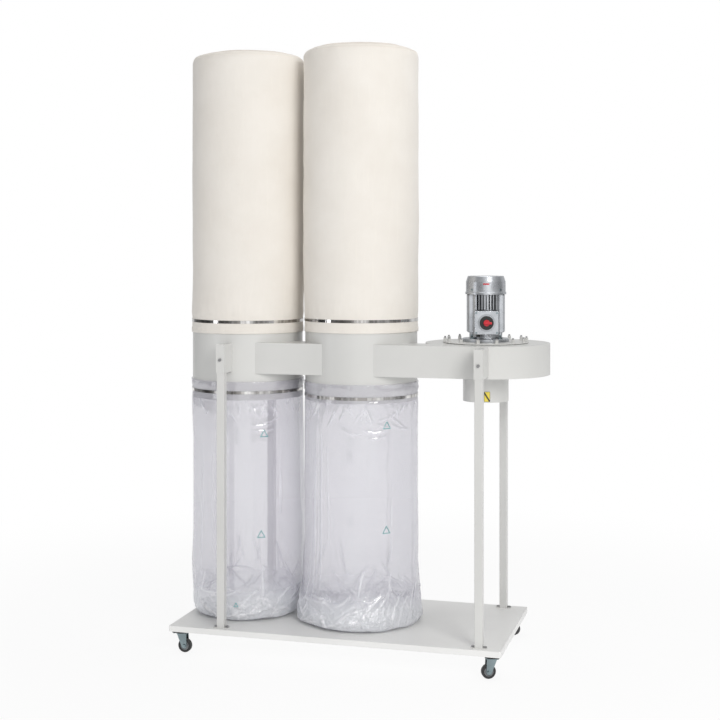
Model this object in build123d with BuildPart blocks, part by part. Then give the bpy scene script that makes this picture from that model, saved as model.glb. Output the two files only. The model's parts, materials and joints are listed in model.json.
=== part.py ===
from build123d import *

import os
from math import atan2, cos, degrees, radians, sin, sqrt

# Twin-bag dust collector on casters. Millimetres, +Z up. The origin is on the floor under the
# middle of the machine's bounding box; +X runs from the bags to the fan and -Y is the front.

os.makedirs("parts", exist_ok=True)

# Sheet metal and fasteners
sheet = 2.0
post_gap = 0.3
bolt_radius = 4.0
bolt_hole = 4.3
bolt_flats = 13.0
nut_height = 6.4
head_height = 5.3
screw_radius = 3.0
screw_hole = 3.3
screw_flats = 10.0

# Base tray, a folded sheet with a skirt
tray_length = 1460.0
tray_width = 730.0
tray_height = 25.0
tray_corner = 6.0
tray_bottom = 97.0
tray_top = tray_bottom + tray_height

# Casters: swivel axes stand in from the tray's corners
wheel_radius = 30.0
wheel_width = 20.0
hub_radius = 19.5
caster_trail = 20.0
caster_inset = (39.0, 45.0)
caster_plate = 60.0
caster_bolt_spacing = 44.0
pad_size = 64.0
axle_radius = 4.0
kingpin_radius = 5.0
race_radius = 18.0
running_gap = 0.08

# Drums and bags
drum_radius = 250.0
drum_wall = 1.5
drum_spacing = 538.0
drum_bottom = 1098.0
drum_top = 1470.0
filter_bottom = 1390.0
filter_top = 2660.0
filter_radius = 255.0
filter_wall = 2.5
filter_edge = 34.0
filter_cuff_top = 1462.0
filter_shoulder = 1500.0
film_top = 1180.0
film_radius = 258.0
film_wall = 1.5
film_foot_top = 320.0
film_shoulder = 1060.0
film_cuff_low = 1111.0
band_width = 13.0
band_wall = 1.2
filter_band_z = (1442.0, 1452.0)
film_band_z = (1132.0, 1120.0)
latch_angle = 50.0
pin_place = -27.0
pin_radius = 2.0
lug_half = 3.5
lever_half = 6.5
ear_thickness = 2.6

# Ducts and fan housing. The volute is four arcs about the corners of a small square
duct_front = -222.0
duct_back = -72.0
duct_bottom = 1216.0
duct_top = 1352.0
volute_radius = 286.0
volute_step = 8.0
fan_reach = 1088.0
collar_radius = 100.0
collar_bottom = 1097.0
eye_radius = 168.0

# Posts: square tubes with bolted feet
post_size = 34.0
post_wall = 2.0
post_y = 328.0
post_foot = 68.0
foot_thickness = 3.0
foot_bolt_offset = 25.0
bracket_bottom = 1226.0
bracket_top = 1350.0
bracket_bolt_z = 1283.0
front_post_offset = 44.0
rear_post_offset = 36.0
seat_bolt_y = 290.0

# Motor plate, impeller and motor, from the housing's top upwards
gasket_height = 2.0
plate_radius = 187.0
plate_thickness = 4.0
stud_count = 14
stud_circle = 178.5
stud_phase = -64.6
impeller_radius = 164.0
blade_count = 8
blade_bottom = 1238.0
impeller_back = 1338.0
impeller_hub = 28.0
blade_middle = 115.0
blade_length = 95.0
blade_wall = 3.0
shaft_radius = 12.0
shaft_bottom = 1296.0
flange_radius = 103.0
flange_thickness = 14.0
flange_bolt_circle = 86.0
flange_bolt = 5.0
flange_hole = 5.2
body_bottom = 1398.0
body_top = 1566.0
body_radius = 84.0
core_radius = 72.0
stator_radius = 60.0
rotor_radius = 36.0
fin_pitch = 12.5
fin_thickness = 5.0
fin_count = 8
pad_start = 55.0
cowl_radius = 87.0
cowl_wall = 1.5
cowl_top = 1645.0
motor_turn = 12.0
box_width = 104.0
box_bottom = 1394.0
box_top = 1495.0
box_face = 112.0
box_back = 40.0
lid_thickness = 10.0
boss_height = 8.0
spindle_radius = 4.0

# Plan positions that follow from the sizes above: the extreme left is the left dust bag,
# the extreme right is the volute, and both are the same distance from the origin
volute_east = volute_radius - volute_step / 2
left_x = -(fan_reach + volute_east - film_radius) / 2
right_x = left_x + drum_spacing
fan_x = left_x + fan_reach
fan_y = duct_front + volute_radius + volute_step / 2
tray_x = left_x + 498.0
front_post_x = fan_x + front_post_offset
rear_post_x = fan_x + rear_post_offset
plate_bottom = duct_top + gasket_height
plate_top = plate_bottom + plate_thickness
flange_top = plate_top + flange_thickness
foot_top = tray_top + foot_thickness
stud_top = plate_top + 22
upward = (Align.CENTER, Align.CENTER, Align.MIN)


def save(name, *solids):
    """Writes one node. Several solids stay separate pieces inside it."""
    node = solids[0] if len(solids) == 1 else Compound(children=list(solids))
    node.label = name
    export_step(node, f"parts/{name}.step")


def upright_frame(x, y, angle=0.0):
    """A horizontal plane through (x, y) whose X axis is turned by an angle."""
    turn = radians(angle)
    return Plane(origin=(x, y, 0), x_dir=(cos(turn), sin(turn), 0), z_dir=(0, 0, 1))


def rods(frame, points, radius, bottom, height, mode=Mode.ADD):
    """Round bars that stand on a frame."""
    with BuildSketch(frame.offset(bottom)) as ends:
        with Locations(*points):
            Circle(radius)
    extrude(ends.sketch, amount=height, mode=mode)


def hexes(frame, points, flats, bottom, height):
    """Hexagonal heads or nuts that stand on a frame."""
    with BuildSketch(frame.offset(bottom)) as ends:
        with Locations(*points):
            RegularPolygon(flats / 2, 6, major_radius=False)
    extrude(ends.sketch, amount=height)


def block(x_range, y_range, z_range, mode=Mode.ADD):
    """A box given by its limits."""
    (x0, x1), (y0, y1), (z0, z1) = x_range, y_range, z_range
    with Locations(((x0 + x1) / 2, (y0 + y1) / 2, z0)):
        Box(x1 - x0, y1 - y0, z1 - z0, align=upward, mode=mode)


def rolled(frame, outline, mode=Mode.ADD):
    """A solid of revolution about a frame's Z axis. The outline is (radius, height) points."""
    profile = Plane(origin=frame.origin, x_dir=frame.x_dir, z_dir=-frame.y_dir)
    with BuildSketch(profile) as section:
        with BuildLine():
            Polyline(*outline, close=True)
        make_face()
    revolve(section.sketch, axis=Axis(frame.origin, (0, 0, 1)), mode=mode)


# ---------------------------------------------------------------- base tray and casters

corner_x = tray_length / 2 - caster_inset[0]
corner_y = tray_width / 2 - caster_inset[1]
casters = {
    "front_left": (tray_x - corner_x, -corner_y, 0.0),
    "front_right": (tray_x + corner_x, -corner_y, 205.0),
    "rear_left": (tray_x - corner_x, corner_y, 20.0),
    "rear_right": (tray_x + corner_x, corner_y, 160.0),
}
caster_points = [(x, y) for x, y, _ in casters.values()]
posts = {
    "front_left": (left_x, -post_y, bracket_top - 2 * sheet, False),
    "rear_left": (left_x, post_y, bracket_top - 2 * sheet, False),
    "front_right": (front_post_x, -post_y, bracket_top - 2 * sheet, False),
    "rear_right": (rear_post_x, post_y, duct_bottom - foot_thickness, True),
}
foot_bolt_points = [
    (place[0] + side * foot_bolt_offset, place[1]) for place in posts.values() for side in (-1, 1)
]

with BuildPart() as base_tray:
    with BuildSketch(Plane.XY.offset(tray_bottom)):
        with Locations((tray_x, 0)):
            RectangleRounded(tray_length, tray_width, tray_corner)
    extrude(amount=tray_height)
    fillet(base_tray.faces().sort_by(Axis.Z)[-1].edges(), sheet)
    with BuildSketch(Plane.XY.offset(tray_bottom)):
        with Locations((tray_x, 0)):
            RectangleRounded(tray_length - 2 * sheet, tray_width - 2 * sheet, tray_corner - sheet)
    extrude(amount=tray_height - sheet, mode=Mode.SUBTRACT)
    rods(Plane.XY, foot_bolt_points, bolt_hole, tray_top - 2 * sheet, 3 * sheet, Mode.SUBTRACT)
save("base_tray", base_tray.part)

# Folded channels under the tray's corners that carry the casters
pad_floor = 2.5
caster_bolt_points = [
    (x + sx * caster_bolt_spacing / 2, y + sy * caster_bolt_spacing / 2)
    for x, y in caster_points
    for sx in (-1, 1)
    for sy in (-1, 1)
]
with BuildPart() as caster_pads:
    for x, y in caster_points:
        x_span = (x - pad_size / 2, x + pad_size / 2)
        y_span = (y - pad_size / 2, y + pad_size / 2)
        block(x_span, y_span, (tray_bottom, tray_top - sheet))
        inner = (y_span[0] + pad_floor, y_span[1] - pad_floor)
        block(x_span, inner, (tray_bottom + pad_floor, tray_top - sheet), Mode.SUBTRACT)
    rods(Plane.XY, caster_bolt_points, screw_hole, tray_bottom, pad_floor, Mode.SUBTRACT)
save("caster_pads", caster_pads.part)

# Top plates with the swivel race and the kingpin
plate_low = tray_bottom - 9.0
race_low = plate_low - 4.0
fork_high = race_low - 0.4
fork_low = fork_high - 3.0
with BuildPart() as caster_plates:
    with BuildSketch(Plane.XY.offset(plate_low)):
        with Locations(*caster_points):
            RectangleRounded(caster_plate, caster_plate, 6)
    extrude(amount=tray_bottom - plate_low)
    rods(Plane.XY, caster_points, race_radius, race_low, plate_low - race_low)
    rods(Plane.XY, caster_points, kingpin_radius, fork_low - 0.4, race_low - fork_low + 0.4)
    rods(Plane.XY, caster_points, 8.0, fork_low - 4.0, 3.6)
    rods(Plane.XY, caster_bolt_points, screw_hole, plate_low, tray_bottom - plate_low, Mode.SUBTRACT)
save("caster_plates", caster_plates.part)

with BuildPart() as caster_bolts:
    hexes(Plane.XY, caster_bolt_points, screw_flats, plate_low - 3.0, 3.0)
    rods(Plane.XY, caster_bolt_points, screw_radius, plate_low, tray_bottom + pad_floor - plate_low)
    hexes(Plane.XY, caster_bolt_points, screw_flats, tray_bottom + pad_floor, 5.0)
save("caster_bolts", caster_bolts.part)

arm_gap = wheel_width / 2 + 2.5
arm_wall = 2.5
for corner, (x, y, heading) in casters.items():
    # The frame's X axis points the way the wheel trails
    frame = upright_frame(x, y, heading)
    across = Plane(origin=frame.origin, x_dir=frame.x_dir, z_dir=-frame.y_dir)
    with BuildPart() as fork:
        with BuildSketch(frame.offset(fork_low)):
            Circle(21.0)
            with Locations((caster_trail - 1, 0)):
                Rectangle(20.0, 2 * (arm_gap + arm_wall))
            make_hull()
        extrude(amount=fork_high - fork_low)
        for inner_face in (arm_gap, -arm_gap - arm_wall):
            with BuildSketch(across.offset(inner_face)):
                with Locations((caster_trail, wheel_radius)):
                    Circle(12.0)
                with Locations((8.0, fork_low)):
                    Rectangle(42.0, 3.0, align=(Align.CENTER, Align.MIN))
                make_hull()
            extrude(amount=arm_wall)
        rods(frame, [(0, 0)], kingpin_radius + running_gap, fork_low - 1, 6.0, Mode.SUBTRACT)
        rods(across, [(caster_trail, wheel_radius)], axle_radius, -20.0, 40.0, Mode.SUBTRACT)
    with BuildPart() as axle:
        outer_face = arm_gap + arm_wall
        axle_point = [(caster_trail, wheel_radius)]
        rods(across, axle_point, axle_radius, -outer_face, 2 * outer_face)
        hexes(across, axle_point, bolt_flats, outer_face, 5.0)
        hexes(across, axle_point, bolt_flats, -outer_face - nut_height, nut_height)
    save(f"{corner}_fork", fork.part, axle.part)

    wheel_frame = across.offset(-wheel_width / 2)
    with BuildPart() as tyre:
        rods(wheel_frame, axle_point, wheel_radius, 0, wheel_width)
        fillet(tyre.edges().filter_by(GeomType.CIRCLE), 3.5)
        rods(wheel_frame, axle_point, hub_radius, 0, wheel_width, Mode.SUBTRACT)
    save(f"{corner}_tyre", tyre.part)
    with BuildPart() as hub:
        rods(wheel_frame, axle_point, hub_radius, 1.5, wheel_width - 3.0)
        rods(wheel_frame, axle_point, 16.5, 1.5, 3.0, Mode.SUBTRACT)
        rods(wheel_frame, axle_point, 16.5, wheel_width - 4.5, 3.0, Mode.SUBTRACT)
        rods(wheel_frame, axle_point, 7.5, -1.5, wheel_width + 3.0)
        rods(wheel_frame, axle_point, axle_radius + running_gap, -2, wheel_width + 4, Mode.SUBTRACT)
    save(f"{corner}_hub", hub.part)

# ---------------------------------------------------------------- posts and brackets

seat_points = [(rear_post_x + side * foot_bolt_offset, seat_bolt_y) for side in (-1, 1)]


def post(x, y, top, reaches_housing):
    """A square tube on a bolted foot. It ends in a bracket, or in a seat under the housing."""
    with BuildPart() as tube:
        with BuildSketch(Plane.XY.offset(foot_top)):
            with Locations((x, y)):
                RectangleRounded(post_size, post_size, 3.0)
                inner = post_size - 2 * post_wall
                RectangleRounded(inner, inner, 1.0, mode=Mode.SUBTRACT)
        extrude(amount=top - foot_top)
        with BuildSketch(Plane.XY.offset(tray_top)):
            with Locations((x, y)):
                RectangleRounded(post_foot, post_size, 4.0)
        extrude(amount=foot_thickness)
        feet = [(x - foot_bolt_offset, y), (x + foot_bolt_offset, y)]
        rods(Plane.XY, feet, bolt_hole, tray_top, foot_thickness, Mode.SUBTRACT)
        if reaches_housing:
            seat_y = (seat_bolt_y - 15, y + post_size / 2)
            block((x - post_foot / 2, x + post_foot / 2), seat_y, (top, top + foot_thickness))
            rods(Plane.XY, seat_points, bolt_hole, top, foot_thickness, Mode.SUBTRACT)
        else:
            cross_hole = Plane(origin=(x, y, bracket_bolt_z), x_dir=(1, 0, 0), z_dir=(0, -1, 0))
            rods(cross_hole, [(0, 0)], bolt_hole, -post_size, 2 * post_size, Mode.SUBTRACT)
    return tube.part


for side in ("left", "right"):
    pair = [post(*place) for name, place in posts.items() if name.endswith(side)]
    save(f"{side}_posts", *pair)


def volute_outline(inset, end_x):
    """The housing's outline in plan, moved in by an inset, with its outlet open at end_x."""
    half = volute_step / 2
    radii = [volute_radius - turn * volute_step - inset for turn in range(4)]
    back = duct_back - inset
    tongue_x = fan_x - half - sqrt(radii[3] ** 2 - (back - fan_y - half) ** 2)
    tongue_angle = degrees(atan2(back - fan_y - half, tongue_x - fan_x + half)) % 360
    with BuildSketch() as outline:
        with BuildLine():
            Line((end_x, duct_front + inset), (fan_x - half, duct_front + inset))
            CenterArc((fan_x - half, fan_y - half), radii[0], 270, 90)
            CenterArc((fan_x + half, fan_y - half), radii[1], 0, 90)
            CenterArc((fan_x + half, fan_y + half), radii[2], 90, 90)
            CenterArc((fan_x - half, fan_y + half), radii[3], 180, tongue_angle - 180)
            Line((tongue_x, back), (end_x, back))
            Line((end_x, back), (end_x, duct_front + inset))
        make_face()
    return outline.sketch


joint_x = fan_x - 210
housing_shape = volute_outline(0, joint_x)
housing_hollow = volute_outline(sheet, joint_x - 10)


def bracket(x, side, wall):
    """A folded channel with a cap. It holds a post's top and is welded to a drum or the housing."""
    inner = post_size / 2 + post_gap
    face = post_y + inner + sheet
    depth = sorted((side * face, side * 40.0))
    hollow = sorted((side * (face - sheet), side * 30.0))
    with BuildPart() as channel:
        block((x - inner - sheet, x + inner + sheet), depth, (bracket_bottom, bracket_top))
        block((x - inner, x + inner), hollow, (bracket_bottom, bracket_top - sheet), Mode.SUBTRACT)
        if wall == "drum":
            rods(Plane.XY, [(x, 0)], drum_radius, bracket_bottom, 200.0, Mode.SUBTRACT)
        else:
            with BuildSketch(Plane.XY.offset(bracket_bottom - 1)):
                add(housing_shape)
            extrude(amount=200.0, mode=Mode.SUBTRACT)
        hole = Plane(origin=(x, 0, bracket_bolt_z), x_dir=(1, 0, 0), z_dir=(0, side, 0))
        rods(hole, [(0, 0)], bolt_hole, face - 4, 8.0, Mode.SUBTRACT)
    return channel.part


bracketed = [(left_x, -1, "drum"), (left_x, 1, "drum"), (front_post_x, -1, "housing")]
save("post_brackets", *[bracket(*place) for place in bracketed])

# Bolts of the posts: two in each foot, one in each bracket and two in the housing's seat
with BuildPart() as post_bolts:
    hexes(Plane.XY, foot_bolt_points, bolt_flats, foot_top, head_height)
    rods(Plane.XY, foot_bolt_points, bolt_radius, tray_top - sheet, foot_top - tray_top + sheet)
    hexes(Plane.XY, foot_bolt_points, bolt_flats, tray_top - sheet - nut_height, nut_height)
    face = post_y + post_size / 2 + post_gap + sheet
    for x, side, _ in bracketed:
        frame = Plane(origin=(x, 0, bracket_bolt_z), x_dir=(1, 0, 0), z_dir=(0, side, 0))
        hexes(frame, [(0, 0)], bolt_flats, face, head_height)
        rods(frame, [(0, 0)], bolt_radius, face - post_size - 12, post_size + 12)
        hexes(frame, [(0, 0)], bolt_flats, post_y - post_size / 2 - nut_height, nut_height)
    seat_low = duct_bottom - foot_thickness
    hexes(Plane.XY, seat_points, bolt_flats, duct_bottom + sheet, head_height)
    rods(Plane.XY, seat_points, bolt_radius, seat_low, duct_bottom + sheet - seat_low)
    hexes(Plane.XY, seat_points, bolt_flats, seat_low - nut_height, nut_height)
save("post_bolts", post_bolts.part)

# ---------------------------------------------------------------- drums and ducts

duct_window = ((duct_front + sheet, duct_back - sheet), (duct_bottom + sheet, duct_top - sheet))


def drum(x, sides):
    """A rolled ring, open at both ends, with a window for each duct."""
    with BuildPart() as shell:
        rods(Plane.XY, [(x, 0)], drum_radius, drum_bottom, drum_top - drum_bottom)
        rods(
            Plane.XY, [(x, 0)], drum_radius - drum_wall, drum_bottom, drum_top - drum_bottom,
            Mode.SUBTRACT,
        )
        for side in sides:
            block(sorted((x, x + side * (drum_radius + 5))), *duct_window, Mode.SUBTRACT)
    return shell.part


save("left_drum", drum(left_x, [1]))
save("right_drum", drum(right_x, [-1, 1]))


def duct(x_range, drum_axes):
    """A rectangular duct cut to the drums that it meets."""
    with BuildPart() as walls:
        block(x_range, (duct_front, duct_back), (duct_bottom, duct_top))
        block((x_range[0] - 5, x_range[1] + 5), *duct_window, Mode.SUBTRACT)
        rods(
            Plane.XY, drum_axes, drum_radius, duct_bottom - 5, duct_top - duct_bottom + 10,
            Mode.SUBTRACT,
        )
    return walls.part


save("connecting_duct", duct((left_x, right_x), [(left_x, 0), (right_x, 0)]))
save("outlet_duct", duct((right_x, joint_x), [(right_x, 0)]))

# ---------------------------------------------------------------- fan housing

fan_frame = upright_frame(fan_x, fan_y)
centre = [(0, 0)]
stud_points = [
    (stud_circle * cos(radians(a)), stud_circle * sin(radians(a)))
    for a in (stud_phase + k * 360 / stud_count for k in range(stud_count))
]

with BuildPart() as scroll_wall:
    with BuildSketch(Plane.XY.offset(duct_bottom + sheet)):
        add(housing_shape)
        add(housing_hollow, mode=Mode.SUBTRACT)
    extrude(amount=duct_top - duct_bottom - 2 * sheet)
save("scroll_wall", scroll_wall.part)

with BuildPart() as housing_top:
    with BuildSketch(Plane.XY.offset(duct_top - sheet)):
        add(housing_shape)
    extrude(amount=sheet)
    rods(fan_frame, centre, eye_radius, duct_top - sheet, sheet, Mode.SUBTRACT)
    rods(fan_frame, stud_points, bolt_radius, duct_top - sheet, sheet, Mode.SUBTRACT)
save("housing_top", housing_top.part)

with BuildPart() as housing_bottom:
    with BuildSketch(Plane.XY.offset(duct_bottom)):
        add(housing_shape)
    extrude(amount=sheet)
    rods(fan_frame, centre, collar_radius - sheet, duct_bottom, sheet, Mode.SUBTRACT)
    rods(Plane.XY, seat_points, bolt_hole, duct_bottom, sheet, Mode.SUBTRACT)
save("housing_bottom", housing_bottom.part)

with BuildPart() as inlet_collar:
    rods(fan_frame, centre, collar_radius, collar_bottom, duct_bottom - collar_bottom)
    rods(
        fan_frame, centre, collar_radius - sheet, collar_bottom, duct_bottom - collar_bottom,
        Mode.SUBTRACT,
    )
save("inlet_collar", inlet_collar.part)

with BuildPart() as gasket:
    rods(fan_frame, centre, plate_radius - 1, duct_top, gasket_height)
    rods(fan_frame, centre, eye_radius, duct_top, gasket_height, Mode.SUBTRACT)
    rods(fan_frame, stud_points, bolt_radius + 0.2, duct_top, gasket_height, Mode.SUBTRACT)
save("motor_plate_gasket", gasket.part)

# The plate under the motor: a flat disc held by the ring of studs
flange_bolt_points = [
    (flange_bolt_circle * cos(radians(a)), flange_bolt_circle * sin(radians(a)))
    for a in (motor_turn + 45 + 90 * k for k in range(4))
]
with BuildPart() as motor_plate:
    rods(fan_frame, centre, plate_radius, plate_bottom, plate_thickness)
    fillet(motor_plate.faces().sort_by(Axis.Z)[-1].edges(), 1.5)
    rods(fan_frame, centre, 55.0, plate_bottom, plate_thickness, Mode.SUBTRACT)
    rods(fan_frame, stud_points, bolt_radius + 0.2, plate_bottom, plate_thickness, Mode.SUBTRACT)
    rods(fan_frame, flange_bolt_points, flange_hole, plate_bottom, plate_thickness, Mode.SUBTRACT)
save("motor_plate", motor_plate.part)

with BuildPart() as plate_studs:
    rods(fan_frame, stud_points, bolt_radius, duct_top - sheet, stud_top - duct_top + sheet)
save("plate_studs", plate_studs.part)

# On each stud a washer, a nut and a lock nut
with BuildPart() as stud_nuts:
    washer_top = plate_top + 1.6
    lock_nut_low = washer_top + nut_height + 1.0
    rods(fan_frame, stud_points, 8.0, plate_top, washer_top - plate_top)
    hexes(fan_frame, stud_points, bolt_flats, washer_top, nut_height)
    rods(fan_frame, stud_points, 5.4, washer_top + nut_height, 1.0)
    hexes(fan_frame, stud_points, bolt_flats, lock_nut_low, nut_height)
    rods(fan_frame, stud_points, bolt_radius, plate_top, 40.0, Mode.SUBTRACT)
save("stud_nuts", stud_nuts.part)

# ---------------------------------------------------------------- impeller and shaft

with BuildPart() as impeller:
    rods(fan_frame, centre, impeller_radius, impeller_back, 3.0)
    with BuildSketch(fan_frame.offset(blade_bottom)):
        with PolarLocations(0, blade_count):
            with Locations((blade_middle, 0)):
                Rectangle(blade_length, blade_wall)
    extrude(amount=impeller_back - blade_bottom)
    rods(fan_frame, centre, impeller_hub, shaft_bottom, impeller_back + 8 - shaft_bottom)
    rods(fan_frame, centre, shaft_radius, shaft_bottom, 80.0, Mode.SUBTRACT)
save("impeller", impeller.part)

with BuildPart() as impeller_bolt:
    rods(fan_frame, centre, 20.0, shaft_bottom - 3, 3.0)
    hexes(fan_frame, centre, bolt_flats, shaft_bottom - 3 - head_height, head_height)
    rods(fan_frame, centre, bolt_radius, shaft_bottom, 20.0)
save("impeller_bolt", impeller_bolt.part)

shaft_top = body_top + 38
with BuildPart() as motor_shaft:
    rods(fan_frame, centre, shaft_radius, shaft_bottom, shaft_top - shaft_bottom)
    rods(fan_frame, centre, bolt_radius, shaft_bottom, 20.0, Mode.SUBTRACT)
save("motor_shaft", motor_shaft.part)

# ---------------------------------------------------------------- motor

motor_frame = upright_frame(fan_x, fan_y, motor_turn)
bearing_radius = 26.0
bearing_height = 15.0
front_bearing = flange_top + 4
rear_bearing = body_top + 1
core_low = body_bottom + 32
core_high = body_top - 26

with BuildPart() as rotor_core:
    rods(fan_frame, centre, rotor_radius, core_low, core_high - core_low)
    rods(fan_frame, centre, shaft_radius, core_low, core_high - core_low, Mode.SUBTRACT)
save("rotor_core", rotor_core.part)

with BuildPart() as stator_core:
    rods(fan_frame, centre, stator_radius, core_low, core_high - core_low)
    rods(fan_frame, centre, rotor_radius + 0.5, core_low, core_high - core_low, Mode.SUBTRACT)
save("stator_core", stator_core.part)

with BuildPart() as windings:
    for low in (core_low - 18, core_high):
        rods(fan_frame, centre, 56.0, low, 18.0)
        rods(fan_frame, centre, 40.0, low, 18.0, Mode.SUBTRACT)
save("stator_windings", windings.part)

with BuildPart() as bearings:
    for low in (front_bearing, rear_bearing):
        rods(fan_frame, centre, bearing_radius, low, bearing_height)
        rods(fan_frame, centre, shaft_radius + 0.05, low, bearing_height, Mode.SUBTRACT)
save("motor_bearings", bearings.part)

# Flange, with a neck as wide as the body and a pocket for each screw that holds the body
lug_points = [(sx * 62.0, sy * 36.0) for sx in (-1, 1) for sy in (-1, 1)]
lug_low = body_bottom - 9.0
with BuildPart() as motor_flange:
    rods(motor_frame, centre, flange_radius, plate_top, flange_thickness)
    chamfer(motor_flange.faces().sort_by(Axis.Z)[-1].edges(), 2.5)
    rods(motor_frame, centre, core_radius, flange_top, body_bottom - flange_top)
    rods(motor_frame, lug_points, 9.0, lug_low, body_bottom - lug_low)
    rods(motor_frame, lug_points, 8.5, flange_top, lug_low - flange_top, Mode.SUBTRACT)
    rods(motor_frame, centre, bearing_radius, front_bearing, 40.0, Mode.SUBTRACT)
    rods(motor_frame, centre, 52.0, front_bearing + bearing_height, 20.0, Mode.SUBTRACT)
    rods(motor_frame, centre, shaft_radius + 2, plate_top, 20.0, Mode.SUBTRACT)
    rods(fan_frame, flange_bolt_points, flange_hole, plate_top, flange_thickness, Mode.SUBTRACT)
    rods(motor_frame, lug_points, screw_radius, lug_low, body_bottom - lug_low, Mode.SUBTRACT)
save("motor_flange", motor_flange.part)

# Ribbed body: flat pads left and right, parallel fins front and back
with BuildPart() as motor_body:
    with BuildSketch(motor_frame.offset(body_bottom)):
        Circle(core_radius)
        fin_x = [(k - (fin_count - 1) / 2) * fin_pitch for k in range(fin_count)]
        with Locations(*[(x, 0) for x in fin_x]):
            Rectangle(fin_thickness, 2 * body_radius)
        for side in (-1, 1):
            with Locations((side * (pad_start + 20), 0)):
                Rectangle(40.0, 84.0)
        Circle(body_radius, mode=Mode.INTERSECT)
    extrude(amount=body_top - body_bottom)
    pad_edges = motor_body.edges().filter_by(GeomType.CIRCLE).filter_by(
        lambda e: abs(e.radius - body_radius) < 0.1 and e.length > 40
    )
    chamfer(pad_edges, 5.0)
    rods(motor_frame, centre, stator_radius, body_bottom, 200.0, Mode.SUBTRACT)
    # The front fins stop above the terminal box
    with BuildSketch(motor_frame.offset(body_bottom)):
        with Locations((0, -95)):
            Rectangle(108.0, 90.0)
        Circle(core_radius, mode=Mode.SUBTRACT)
    extrude(amount=box_top + 3 - body_bottom, mode=Mode.SUBTRACT)
save("motor_body", motor_body.part)

# Four radial screws hold the fan's cowl on the rear shield's arms
cowl_screw_frames = [
    Plane(
        origin=(fan_x, fan_y, body_top + 20),
        x_dir=(-sin(radians(a)), cos(radians(a)), 0),
        z_dir=(cos(radians(a)), sin(radians(a)), 0),
    )
    for a in (motor_turn + 45 + 90 * k for k in range(4))
]

with BuildPart() as rear_shield:
    rods(motor_frame, centre, 72.0, body_top, 14.0)
    rods(motor_frame, centre, 34.0, body_top + 14, 6.0)
    with BuildSketch(motor_frame.offset(body_top)):
        with PolarLocations(0, 4, start_angle=45):
            with Locations((76.0, 0)):
                Rectangle(20.0, 14.0)
        Circle(cowl_radius - cowl_wall - 0.2, mode=Mode.INTERSECT)
    extrude(amount=26.0)
    rods(motor_frame, centre, bearing_radius, body_top - 1, bearing_height + 2, Mode.SUBTRACT)
    rods(motor_frame, centre, shaft_radius + 1, body_top, 30.0, Mode.SUBTRACT)
    for frame in cowl_screw_frames:
        rods(frame, centre, 2.0, cowl_radius - 12, 12.0, Mode.SUBTRACT)
save("rear_end_shield", rear_shield.part)

with BuildPart() as cooling_fan:
    low = body_top + 22
    rods(fan_frame, centre, 20.0, low, 16.0)
    rods(fan_frame, centre, 66.0, low, 2.0)
    with BuildSketch(fan_frame.offset(low)):
        with PolarLocations(0, 8):
            with Locations((43.0, 0)):
                Rectangle(46.0, 2.5)
    extrude(amount=26.0)
    rods(fan_frame, centre, shaft_radius, low, 30.0, Mode.SUBTRACT)
save("cooling_fan", cooling_fan.part)

# Pressed cowl with a flared lower rim and a slotted top
with BuildPart() as fan_cowl:
    wall = cowl_wall
    rim = body_top - 1
    rolled(
        motor_frame,
        [
            (0, cowl_top), (77, cowl_top), (79.5, cowl_top - 2), (cowl_radius, cowl_top - 25),
            (cowl_radius, rim + 12), (cowl_radius + 3, rim + 9), (cowl_radius + 3, rim),
            (cowl_radius + 3 - wall, rim), (cowl_radius + 3 - wall, rim + 8.4),
            (cowl_radius - wall, rim + 11.4), (cowl_radius - wall, cowl_top - 25.2),
            (78.3, cowl_top - 3), (76.5, cowl_top - wall), (0, cowl_top - wall),
        ],
    )
    with BuildSketch(motor_frame.offset(cowl_top - 5)):
        for ring_radius, count in ((24, 6), (38, 10), (52, 14), (66, 18)):
            with PolarLocations(ring_radius, count):
                SlotOverall(13.0, 7.0, rotation=90)
    extrude(amount=10.0, mode=Mode.SUBTRACT)
    for frame in cowl_screw_frames:
        rods(frame, centre, 2.0, cowl_radius - 8, 12.0, Mode.SUBTRACT)
save("fan_cowl", fan_cowl.part)

# Terminal box, lid and rotary switch, on the side that faces the front
turn = radians(motor_turn)
outward = (sin(turn), -cos(turn), 0)
box_centre_z = (box_bottom + box_top) / 2
box_height = box_top - box_bottom
face_frame = Plane(
    origin=(fan_x, fan_y, box_centre_z), x_dir=(cos(turn), sin(turn), 0), z_dir=outward
)
with BuildPart() as terminal_box:
    with BuildSketch(face_frame.offset(box_back)):
        RectangleRounded(box_width, box_height, 5)
    extrude(amount=box_face - box_back)
    with BuildSketch(face_frame.offset(76)):
        RectangleRounded(box_width - 8, box_height - 8, 4)
    extrude(amount=box_face - 76, mode=Mode.SUBTRACT)
    rods(motor_frame, centre, core_radius, box_bottom - 5, box_height + 10, Mode.SUBTRACT)
    gland_frame = Plane(origin=face_frame.origin, x_dir=face_frame.x_dir, z_dir=(0, 0, -1))
    gland_point = [(-36.0, 93.0)]
    rods(gland_frame, gland_point, 8.0, box_height / 2 - 8, 10.0, Mode.SUBTRACT)
save("terminal_box", terminal_box.part)

screw_points = [
    (sx * (box_width / 2 - 7.5), sy * (box_height / 2 - 7.5)) for sx in (-1, 1) for sy in (-1, 1)
]
lid_face = box_face + lid_thickness
boss_face = lid_face + boss_height
with BuildPart() as lid:
    with BuildSketch(face_frame.offset(box_face)):
        RectangleRounded(box_width, box_height, 5)
    extrude(amount=lid_thickness)
    fillet(lid.faces().sort_by(Axis(face_frame.origin, outward))[-1].edges(), 1.5)
    rods(face_frame, centre, 34.0, lid_face, boss_height)
    rods(face_frame, screw_points, 4.2, lid_face - 2, 3.0, Mode.SUBTRACT)
save("terminal_box_lid", lid.part)

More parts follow.
